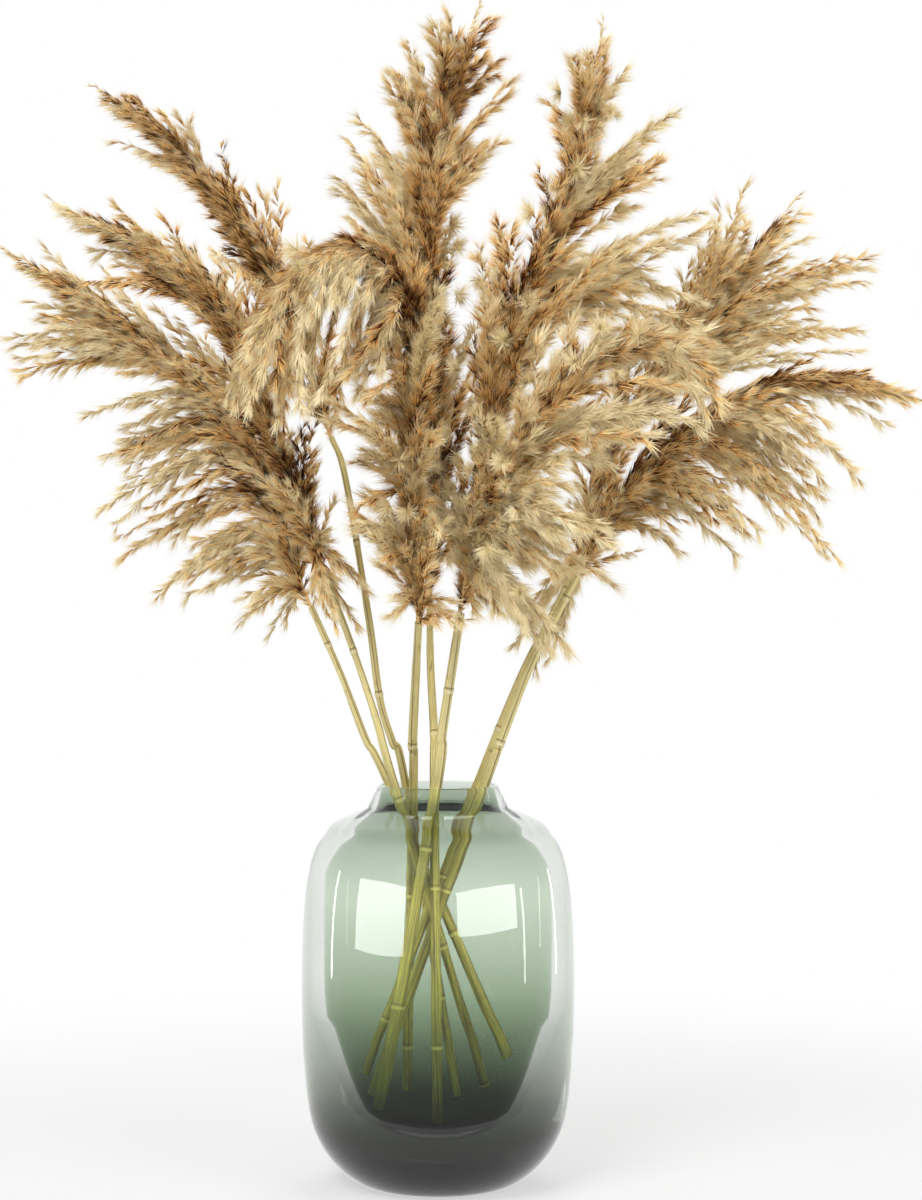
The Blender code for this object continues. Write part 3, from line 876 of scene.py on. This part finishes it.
def add_blade(work, layer, base, axis, length, width, shade, rise, closed):
    """A closed husk of four faces, or a single pointed hair, with its place in the fluff map."""
    side = axis.orthogonal().normalized()
    tip = work.verts.new(base + axis * length)
    if closed:
        root = work.verts.new(base)
        middle = base + axis * length * 0.4
        keel = axis.cross(side) * width * 0.25
        left = work.verts.new(middle - side * width / 2 + keel)
        right = work.verts.new(middle + side * width / 2 + keel)
        faces = [(root, left, tip), (root, tip, right), (root, right, left), (left, right, tip)]
        heights = {root: rise[0], tip: rise[1], left: sum(rise) / 2, right: sum(rise) / 2}
    else:
        ends = [work.verts.new(base - side * width / 2), work.verts.new(base + side * width / 2)]
        faces = [(*ends, tip)]
        heights = {ends[0]: rise[0], ends[1]: rise[0], tip: rise[1]}
    for corners in faces:
        face = work.faces.new(corners)
        for i, loop in enumerate(face.loops):
            loop[layer].uv = (shade + 0.006 * i, heights[loop.vert])


def tuft_mesh(name, shape, dice):
    """One spikelet, its root at the origin and its tip along +Z."""
    work = bmesh.new()
    layer = work.loops.layers.uv.new(FLUFF_MAP)
    for i in range(shape.husks):
        turn = math.tau * (i + dice.uniform(-0.2, 0.2)) / shape.husks
        axis = way(shape.husk_spread * dice.uniform(0.4, 1.0), turn)
        base = Vector((0, 0, HUSK_STEP * i))
        length = shape.husk_length * dice.uniform(0.8, 1.1)
        shade = dice.uniform(*HUSK_SHADES)
        add_blade(work, layer, base, axis, length, shape.husk_width, shade, (0.05, 0.9), True)
    rise = (0.10 if shape.husks else 0.60, 1.0)
    for i in range(shape.hairs):
        turn = GOLDEN_TURN * i + dice.uniform(-0.4, 0.4)
        axis = way(shape.hair_spread * dice.uniform(0.15, 1.0), turn)
        base = Vector((0, 0, dice.uniform(0.0, 0.4) * shape.husk_length))
        length = shape.hair_length * dice.uniform(0.65, 1.1)
        add_blade(work, layer, base, axis, length, shape.hair_width, dice.uniform(*HAIR_SHADES), rise, False)
    mesh = bpy.data.meshes.new(name)
    work.to_mesh(mesh)
    work.free()
    return mesh


def tuft_collection(kind, shape, seed):
    """A few different spikelets of one kind for the plumes to pick from, and a puff of open silk."""
    made = bpy.data.collections.new("tufts_" + kind)
    bpy.context.scene.collection.children.link(made)
    dice = random.Random(seed)
    for i, form in enumerate([shape] * TUFT_VARIANTS + [PUFF_SHAPE]):
        name = f"tuft_{kind}_{i}"
        made.objects.link(bpy.data.objects.new(name, tuft_mesh(name, form, dice)))
    return made


def plume_growth():
    """Stalks along the guide's lines, with a tuft every few millimetres of them."""
    tree, bench, given = new_growth("Tufted plume", {
        "Tuft Spacing": "Float", "Tuft Size": "Float", "Size Variation": "Float", "Lean": "Float",
        "Droop": "Float", "Shade Variation": "Float", "Stalk Sides": "Int", "Seed": "Int",
        "Tufts": "Collection", "Finish": "Material",
    })
    seed = given["Seed"]
    curves = bench.add("GeometryNodeMeshToCurve", inputs={0: given["Guide"]})
    shade = bench.attribute("shade")

    stalk_line = bench.store(curves, "up_stalk", bench.add("GeometryNodeSplineParameter"))
    stalks = bench.sweep(stalk_line, given["Stalk Sides"], bench.attribute("thickness"), "round_stalk")
    across = bench.clamp(shade + 0.02 * bench.attribute("round_stalk"), *MAP_EDGES)
    place = bench.vector(across, 0.45 + 0.1 * bench.attribute("up_stalk"), 0.0)
    stalks = bench.store(stalks, FLUFF_MAP, place, "FLOAT2", "CORNER")

    spacing = {"Curve": curves, "Length": given["Tuft Spacing"]}
    points = bench.add("GeometryNodeCurveToPoints", {"mode": "LENGTH"}, spacing)
    spin = bench.random(0.0, math.tau, seed)
    lean = given["Lean"] * bench.random(0.35, 1.25, seed + 1)
    turn = bench.add("FunctionNodeEulerToRotation", inputs={0: bench.vector(lean, 0.0, spin)})
    rotations = {0: points.also("Rotation"), 1: turn}
    turned = bench.add("FunctionNodeRotateRotation", {"rotation_space": "LOCAL"}, rotations)
    hanging = bench.add(
        "FunctionNodeAlignRotationToVector",
        {"axis": "Z", "pivot_axis": "AUTO"},
        {"Rotation": turned, "Factor": given["Droop"], "Vector": (0.0, 0.0, -1.0)},
    )
    drawn = bench.random_whole(0, TUFT_VARIANTS - 1, seed + 4)
    picked = bench.maths("MAXIMUM", drawn, bench.attribute("puff"))
    spread = given["Size Variation"]
    varied = bench.random(1.0 - spread, 1.0 + spread, seed + 2)
    size = bench.attribute("fluff") * given["Tuft Size"] * varied
    spread = given["Shade Variation"]
    varied = bench.random(0.0 - spread, spread, seed + 3)
    sockets = {"Collection": given["Tufts"], "Separate Children": True, "Reset Children": True}
    tufts = bench.add(
        "GeometryNodeInstanceOnPoints",
        inputs={
            "Points": bench.store(points, "shade", shade + varied),
            "Instance": bench.add("GeometryNodeCollectionInfo", inputs=sockets),
            "Pick Instance": True,
            "Instance Index": picked,
            "Rotation": hanging,
            "Scale": bench.vector(size, size, size),
        },
    )
    real = bench.add("GeometryNodeRealizeInstances", inputs={"Geometry": tufts})
    mapped = bench.part(bench.attribute(FLUFF_MAP, "FLOAT_VECTOR"), 0)
    place = bench.vector(bench.clamp(mapped + bench.attribute("shade"), *MAP_EDGES), mapped.also(1), 0.0)
    real = bench.store(real, FLUFF_MAP, place, "FLOAT2", "CORNER")

    both = bench.add("GeometryNodeJoinGeometry", inputs={0: stalks})
    bench.tree.links.new(real.socket, both.socket.node.inputs[0])
    end_growth(bench, both, given["Finish"])
    return tree


def plume_axis(plume, foot_way):
    """The plume's main axis. It starts a gap past the stem's top, along the stem's own way."""
    start = Vector(plume.foot) + foot_way * GAP
    return smooth_path([start, start + foot_way * STRAIGHT_END, *plume.axis])


def body_radius(plume, share):
    """The plume's body is fullest before its middle, and drawn out to the tip."""
    if share < FULLEST:
        fill = share / FULLEST
        return plume.body_radius * fill * (2 - fill)
    return plume.body_radius * (1 - share) / (1 - FULLEST)


def off_axis(heading, dice):
    """A random direction square to the heading."""
    return Quaternion(heading, dice.uniform(0, math.tau)) @ heading.orthogonal().normalized()


def branch_path(axis, leave, tip, count):
    """A branch leaves along the axis and then bends over to its tip."""
    start, heading = point_at(axis, leave)
    bend = start + heading * LOCK_LEAN * (tip - start).length
    return interpolate_bezier(start, start.lerp(bend, 2 / 3), tip.lerp(bend, 2 / 3), tip, count)


def branch_line(plume, path, root_thickness, shade):
    """A branch's points with its thickness, the size of its tufts and their shade."""
    habit = plume.habit
    line = []
    for i, place in enumerate(path):
        share = i / (len(path) - 1)
        if share < FULL_FROM:
            fullness = 0.80 + 0.75 * share
        else:
            fullness = 1.10 + (habit.tip_fullness - 1.10) * (share - FULL_FROM) / (1 - FULL_FROM)
        kept = {
            "thickness": root_thickness * (1 - 0.75 * share),
            "fluff": fullness,
            # Lighter towards the tip: partly the paler silk at a branch's end, partly painted shade on its
            # inner part near the axis
            "shade": shade + habit.tip_lift * share,
            "puff": 0.0,
        }
        line.append((place, kept))
    return line


def held_in(plume, place):
    """The nearest place that is well inside the plume's box."""
    low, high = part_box("plume_" + plume.name)
    return Vector([min(max(c, a + REACH_IN), b - REACH_IN) for c, a, b in zip(place, low, high)])


def stray(plume, spread, dice):
    """A random step away from a lock's middle."""
    return Vector([dice.gauss(0, spread) for _ in range(3)]) * plume.lock_radius


def lock_branches(plume, axis, leave, tip, look, dice):
    """A lock: one branch to its tip, and shorter ones round it."""
    habit = plume.habit
    lock_shade = habit.shade + habit.foot_lift * (1 - leave) + dice.uniform(*LOCK_SHADES)
    for i in range(look.lock_branches):
        reach = 1.0 if i == 0 else dice.uniform(0.6, 0.97)
        end = tip + stray(plume, 0.7, dice) * (0.2 if i == 0 else 1.0)
        start = min(0.97, max(0.01, leave + dice.gauss(0, 0.03)))
        path = branch_path(axis, start, held_in(plume, end), LOCK_POINTS)
        path = path[: max(3, round(LOCK_POINTS * reach))]
        yield branch_line(plume, path, LOCK_STALK, lock_shade + dice.uniform(*IN_LOCK_SHADES))


def between_branches(plume, axis, look, dice):
    """Branches whose tips lie between those of two neighbouring locks."""
    for _ in range(look.between_branches):
        leave, tip = dice.choice(plume.locks)
        near = sorted(plume.locks, key=lambda lock: (Vector(lock[1]) - Vector(tip)).length)[1:4]
        other_leave, other_tip = dice.choice(near)
        share = dice.uniform(0.15, 0.85)
        start = leave + (other_leave - leave) * share + dice.gauss(0, 0.02)
        end = Vector(tip).lerp(Vector(other_tip), share) + stray(plume, 0.5, dice)
        path = branch_path(axis, min(0.95, max(0.01, start)), held_in(plume, end), 9)
        path = path[: dice.randint(5, 8)]
        # Darker than the locks on the whole: partly painted shade in the hollows between them
        yield branch_line(plume, path, THIN_STALK, plume.habit.shade + dice.uniform(*BETWEEN_SHADES))


def body_branches(plume, axis, look, dice):
    """Short branches that lie close round the axis and fill the plume's body."""
    length = lengths_along(axis)[-1]
    for i in range(look.body_branches):
        share = 0.01 + 0.74 * (i + dice.random()) / look.body_branches
        end_share = min(1.0, share + dice.uniform(0.055, 0.100) / length)
        end, end_heading = point_at(axis, end_share)
        out = off_axis(end_heading, dice) * body_radius(plume, end_share) * dice.uniform(0.5, 1.15)
        path = branch_path(axis, share, end + out, 7)
        # Darker than the locks: partly painted shade in the plume's core, partly its browner husks
        yield branch_line(plume, path, BODY_STALK, plume.habit.shade + dice.uniform(*BODY_SHADES))


def foot_branches(plume, axis, look, dice):
    """Branches that fan out low down and make the plume's foot full."""
    for _ in range(look.foot_branches):
        leave = dice.uniform(0.0, 0.06)
        start, heading = point_at(axis, leave)
        lean = dice.uniform(0.25, 0.60)
        aim = heading * math.cos(lean) + off_axis(heading, dice) * math.sin(lean)
        path = branch_path(axis, leave, start + aim * dice.uniform(0.040, 0.075), 8)
        yield branch_line(plume, path, THIN_STALK, plume.habit.shade + dice.uniform(*FOOT_SHADES))


def side_lock_branches(plume, axis, leave, tip, dice):
    """A small lock at the plume's edge."""
    lock_shade = plume.habit.shade + dice.uniform(*EDGE_SHADES)
    for i in range(3):
        path = branch_path(axis, leave, tip + stray(plume, 0.5, dice) * min(i, 1), 9)[: 9 - i]
        yield branch_line(plume, path, THIN_STALK, lock_shade + dice.uniform(*IN_EDGE_SHADES))


def puff_lines(plume, axis, dice):
    """Bursts of open silk on the plume's surface, each a single tuft on a very short line."""
    puffs = plume.habit.puffs
    for i in range(puffs):
        if i % 2:
            leave, tip = dice.choice(plume.locks)
            place, heading = point_at(branch_path(axis, leave, Vector(tip), 8), dice.uniform(0.15, 0.65))
            reach = plume.lock_radius
        else:
            share = 0.06 + 0.80 * (i + dice.random()) / puffs
            place, heading = point_at(axis, share)
            reach = body_radius(plume, share)
        out = off_axis(heading, dice)
        start = place + out * reach * dice.uniform(1.0, 1.35)
        shade = PUFF_SHADE + dice.uniform(-0.12, 0.12)
        fluff = dice.uniform(0.9, 1.35)
        kept = {"thickness": PUFF_STALK, "fluff": fluff, "shade": shade, "puff": float(TUFT_VARIANTS)}
        yield [(start, kept), (start + out * PUFF_LINE, kept)]


def plume_lines(plume, axis, foot_radius, look, dice):
    """The axis with its body of short branches, its locks, and what lies between them."""
    spine = [point_at(axis, i / SPINE_STEPS)[0] for i in range(SPINE_STEPS + 1)]
    lines = [branch_line(plume, spine, foot_radius, SPINE_SHADE)]
    for _, kept in lines[0]:
        kept["fluff"] *= SPINE_FLUFF
    for leave, tip in (*plume.locks, (TOP_LOCK, axis[-1])):
        lines += lock_branches(plume, axis, leave, Vector(tip), look, dice)
    for kind in (between_branches, body_branches, foot_branches):
        lines += kind(plume, axis, look, dice)
    for leave, tip in SIDE_LOCKS.get(plume.name, []):
        lines += side_lock_branches(plume, axis, leave, Vector(tip), dice)
    return lines + list(puff_lines(plume, axis, dice))


def build_plumes(look):
    tree = plume_growth()
    carriers = {reed.name: (stem_guide(reed)[1], reed.radii[2] * FOOT_SHARE) for reed in REEDS}
    straw = [(0.0, look.dark_colour), (0.15, "84481A"), (0.29, look.mid_colour), (0.46, "FFDF9A"),
             (0.86, look.light_colour)]
    olive = [(0.0, "4C2C0C"), (0.18, "805424"), (0.34, "F6C074"), (0.66, "FFE4A4"), (1.0, "FFF4D6")]
    finishes = {
        "straw": fluff_finish("tan_straw_fluff", look, straw),
        "olive": fluff_finish("olive_brown_fluff", look, olive),
    }
    shapes = {kind: tuft_collection(kind, shape, look.seed) for kind, shape in TUFT_SHAPES.items()}
    for i, plume in enumerate(PLUMES):
        dice = random.Random(look.seed + i)
        foot_way, foot_radius = carriers.get(plume.name, carriers["forked"])
        axis = plume_axis(plume, foot_way)
        name = "plume_" + plume.name
        guide = guide_mesh(name, plume_lines(plume, axis, foot_radius, look, dice))
        values = {
            "Tuft Spacing": look.tuft_spacing, "Tuft Size": look.tuft_size, "Size Variation": SIZE_VARIATION,
            "Lean": look.lean, "Droop": look.droop, "Shade Variation": SHADE_VARIATION, "Stalk Sides": 3,
            "Seed": look.seed + i, "Tufts": shapes[plume.habit.tufts], "Finish": finishes[plume.habit.tones],
        }
        take_place(grow("feathery_" + name, guide, tree, values), name)
    for made in shapes.values():
        for tuft in list(made.objects):
            bpy.data.objects.remove(tuft, do_unlink=True)
        bpy.data.collections.remove(made)


# The stage


CAMERA_PLACE = (0.0174, -1.930, 0.4396)
CAMERA_LENS = 76.35
SOFTBOXES = [
    ("key_softbox", (-0.9, -1.5, 2.1), (1.2, 1.2), 1.0),
    ("fill_softbox", (1.6, -1.3, 1.3), (1.0, 1.4), 0.45),
    ("back_softbox", (0.3, 1.8, 1.9), (1.6, 0.8), 0.60),
]
WINDOWS = [
    ("left_window", (-0.98, -0.86, 0.33), (1.05, 0.46)),
    ("right_window", (0.88, -0.96, 0.35), (1.30, 0.32)),
    ("left_strip", (-1.29, 0.14, 0.22), (0.06, 0.60)),
    ("right_strip", (1.26, -0.34, 0.20), (0.05, 0.44)),
    ("far_right_strip", (1.19, 0.53, 0.20), (0.05, 0.50)),
]
LIT_POINT = (0.0, 0.0, 0.5)  # what the softboxes face
MIRROR_POINT = (0.0, 0.0, 0.2)  # and the windows
FLOOR_GAP = 0.0003  # the floor lies this far under the foot
FADE_SPAN = (0.25, 1.0)  # metres from the vase, over which the floor turns to plain white
FADE_NEAR = 0.55  # how white it is under the vase


def add_lamp(name, place, target, size, power):
    """A soft square lamp that faces the target."""
    data = bpy.data.lights.new(name, "AREA")
    data.shape = "RECTANGLE"
    data.size, data.size_y = size
    data.energy = power
    lamp = add_object(name, data)
    lamp.location = place
    lamp.rotation_euler = (Vector(target) - Vector(place)).to_track_quat("-Z", "Y").to_euler()
    return lamp


def build_world(look):
    """White to look at, and a plain soft light to be lit by."""
    world = bpy.data.worlds.new("studio_air")
    world.use_nodes = True
    world.node_tree.nodes.clear()
    bench = Bench(world.node_tree)
    seen = bench.eye_paths()[1]
    strength = look.air_strength + (1.0 - look.air_strength) * seen
    glow = bench.add("ShaderNodeBackground", inputs={"Color": WHITE, "Strength": strength})
    bench.add("ShaderNodeOutputWorld", inputs={"Surface": glow})
    bpy.context.scene.world = world


def build_stage(look):
    mesh = bpy.data.meshes.new("floor")
    work = bmesh.new()
    bmesh.ops.create_circle(work, cap_ends=True, radius=look.floor_radius, segments=64)
    work.to_mesh(mesh)
    work.free()
    mesh.materials.append(floor_finish(look))
    floor = add_object("floor", mesh)
    floor.location.z = -FLOOR_GAP
    build_world(look)
    for name, place, size, share in SOFTBOXES:
        softbox = add_lamp(name, place, LIT_POINT, size, look.key_power * share)
        softbox.visible_glossy = False
    for name, place, size in WINDOWS:
        window = add_lamp(name, place, MIRROR_POINT, size, look.window_glare * size[0] * size[1])
        window.visible_diffuse = False
    data = bpy.data.cameras.new("studio_camera")
    data.lens = CAMERA_LENS
    camera = add_object("studio_camera", data)
    camera.location = CAMERA_PLACE
    camera.rotation_euler = (math.pi / 2, 0.0, 0.0)
    bpy.context.scene.camera = camera
    bpy.context.scene.view_settings.view_transform = "Standard"


# What a user would change


def colour_property(name, description, code):
    return FloatVectorProperty(name=name, description=description, subtype="COLOR", default=linear(code))


class VaseLook(bpy.types.PropertyGroup):
    lining_colour: colour_property("Lining", "Tint of the hollow's wall", "DEEAD9")
    casing_colour: colour_property("Casing", "Tint of the outer wall above the foot", "F6F9F5")
    foot_colour: colour_property("Foot", "Tint of the smoky foot", "373737")
    ior: FloatProperty(name="IOR", description="How strongly the glass bends light", default=1.12, min=1.0)
    smoke_colour: FloatVectorProperty(
        name="Smoke colour", description="Colour of light that has passed thick glass", subtype="COLOR",
        default=(0.10, 0.22, 0.08),
    )
    smoke: FloatProperty(name="Smoke", description="How fast thick glass darkens", default=4.0, min=0.0)
    gloss: FloatProperty(
        name="Gloss", description="Strength of what the outer wall mirrors", default=0.6, min=0.0, max=1.0
    )
    ripple_scale: FloatProperty(name="Ripple scale", description="Ripples to a metre", default=14.0)
    ripple_depth: FloatProperty(
        name="Ripple depth", description="How deep the glass's ripples are", default=0.0006, unit="LENGTH"
    )
    turn_steps: IntProperty(name="Turn steps", description="Sides of the turned glass", default=128, min=24)


class StemLook(bpy.types.PropertyGroup):
    dry_colour: colour_property("Dry straw", "Colour of the stems above the rim", "EEE09A")
    # Painted shade and glass tint: the stems' colour below the rim, inside the vase
    in_vase_shaded_colour: colour_property("Olive straw", "Colour of the stems in the vase", "B6A44A")
    ring_colour: colour_property("Rings", "Colour of the rings on a stem", "E6DBA8")
    ring_spacing: FloatProperty(
        name="Ring spacing", description="From one ring to the next", default=0.120, unit="LENGTH"
    )
    ring_swell: FloatProperty(name="Ring swell", description="How far rings stand out", default=0.16, min=0.0)
    sides: IntProperty(name="Sides", description="Sides of a stem", default=14, min=6)


class PlumeLook(bpy.types.PropertyGroup):
    # Also the colour that the painted shade at the tufts' roots and in the plumes' cores runs down to
    dark_colour: colour_property("Brown", "Colour of the darkest husks", "442004")
    mid_colour: colour_property("Tan", "Colour of a middling tuft", "FCC272")
    light_colour: colour_property("Cream", "Colour of the lightest hairs", "FFF1C8")
    # Partly painted shade: besides the husks' own brown, it darkens each tuft's root, deep among the other
    # tufts
    root_colour: colour_property("Root", "What a tuft's colour is multiplied by at its root", "B48C5C")
    tuft_spacing: FloatProperty(
        name="Tuft spacing", description="From one tuft to the next on a stalk", default=0.0042, unit="LENGTH"
    )
    lock_branches: IntProperty(name="Lock branches", description="Branches in each lock", default=6, min=1)
    between_branches: IntProperty(name="Between", description="Branches between the locks", default=45, min=0)
    body_branches: IntProperty(name="Body branches", description="Short ones on an axis", default=40, min=0)
    foot_branches: IntProperty(name="Foot branches", description="Branches at each foot", default=10, min=0)
    tuft_size: FloatProperty(name="Tuft size", description="Scale of every tuft", default=1.2, min=0.1)
    lean: FloatProperty(name="Lean", description="How far tufts lean out", default=0.42, unit="ROTATION")
    droop: FloatProperty(name="Droop", description="How far tufts hang", default=0.10, min=0.0, max=1.0)
    seed: IntProperty(name="Seed", description="Which of the possible plumes grow", default=11)


class StageLook(bpy.types.PropertyGroup):
    floor_colour: FloatVectorProperty(
        name="Floor", description="Colour of the floor", subtype="COLOR", default=(0.86, 0.86, 0.86)
    )
    floor_radius: FloatProperty(name="Radius", description="Size of the floor", default=30.0, unit="LENGTH")
    air_strength: FloatProperty(name="Air", description="Strength of the light from all round", default=0.29)
    window_glare: FloatProperty(
        name="Window glare", description="Power of a window's square metre, for mirrored light", default=38.0
    )
    key_power: FloatProperty(name="Key", description="Power of the main lamp", default=37.0, unit="POWER")


# The steps


class PLUMES_OT_vase(bpy.types.Operator):
    """Turns the glass vase and gives it its finish"""

    bl_idname = "plumes.vase"
    bl_label = "Glass Vase"

    def execute(self, context):
        build_vase(context.scene.vase_look)
        return {"FINISHED"}


class PLUMES_OT_stems(bpy.types.Operator):
    """Grows the jointed stems"""

    bl_idname = "plumes.stems"
    bl_label = "Jointed Stems"

    def execute(self, context):
        build_stems(context.scene.stem_look)
        return {"FINISHED"}


class PLUMES_OT_plumes(bpy.types.Operator):
    """Grows the feathery plumes"""

    bl_idname = "plumes.plumes"
    bl_label = "Feathery Plumes"

    def execute(self, context):
        build_plumes(context.scene.plume_look)
        return {"FINISHED"}


class PLUMES_OT_stage(bpy.types.Operator):
    """Lays the floor and sets the lamps and the camera"""

    bl_idname = "plumes.stage"
    bl_label = "Studio Stage"

    def execute(self, context):
        build_stage(context.scene.stage_look)
        return {"FINISHED"}


STEPS = (PLUMES_OT_vase, PLUMES_OT_stems, PLUMES_OT_plumes, PLUMES_OT_stage)
LOOKS = {"vase_look": VaseLook, "stem_look": StemLook, "plume_look": PlumeLook, "stage_look": StageLook}


class PLUMES_PT_panel(bpy.types.Panel):
    """The looks of each group of pieces, with the step that builds it"""

    bl_label = "Vase of Dried Plumes"
    bl_idname = "PLUMES_PT_panel"
    bl_space_type = "VIEW_3D"
    bl_region_type = "UI"
    bl_category = "Plumes"

    def draw(self, context):
        for step, (name, look) in zip(STEPS, LOOKS.items()):
            box = self.layout.box()
            for key in look.__annotations__:
                box.prop(getattr(context.scene, name), key)
            box.operator(step.bl_idname)


CLASSES = (*LOOKS.values(), *STEPS, PLUMES_PT_panel)


def register():
    for kind in CLASSES:
        bpy.utils.register_class(kind)
    for name, look in LOOKS.items():
        setattr(bpy.types.Scene, name, PointerProperty(type=look))


def unregister():
    for name in LOOKS:
        delattr(bpy.types.Scene, name)
    for kind in reversed(CLASSES):
        bpy.utils.unregister_class(kind)


def main():
    register()
    bpy.ops.plumes.vase()
    bpy.ops.plumes.stems()
    bpy.ops.plumes.plumes()
    bpy.ops.plumes.stage()


if __name__ == "__main__":
    main()
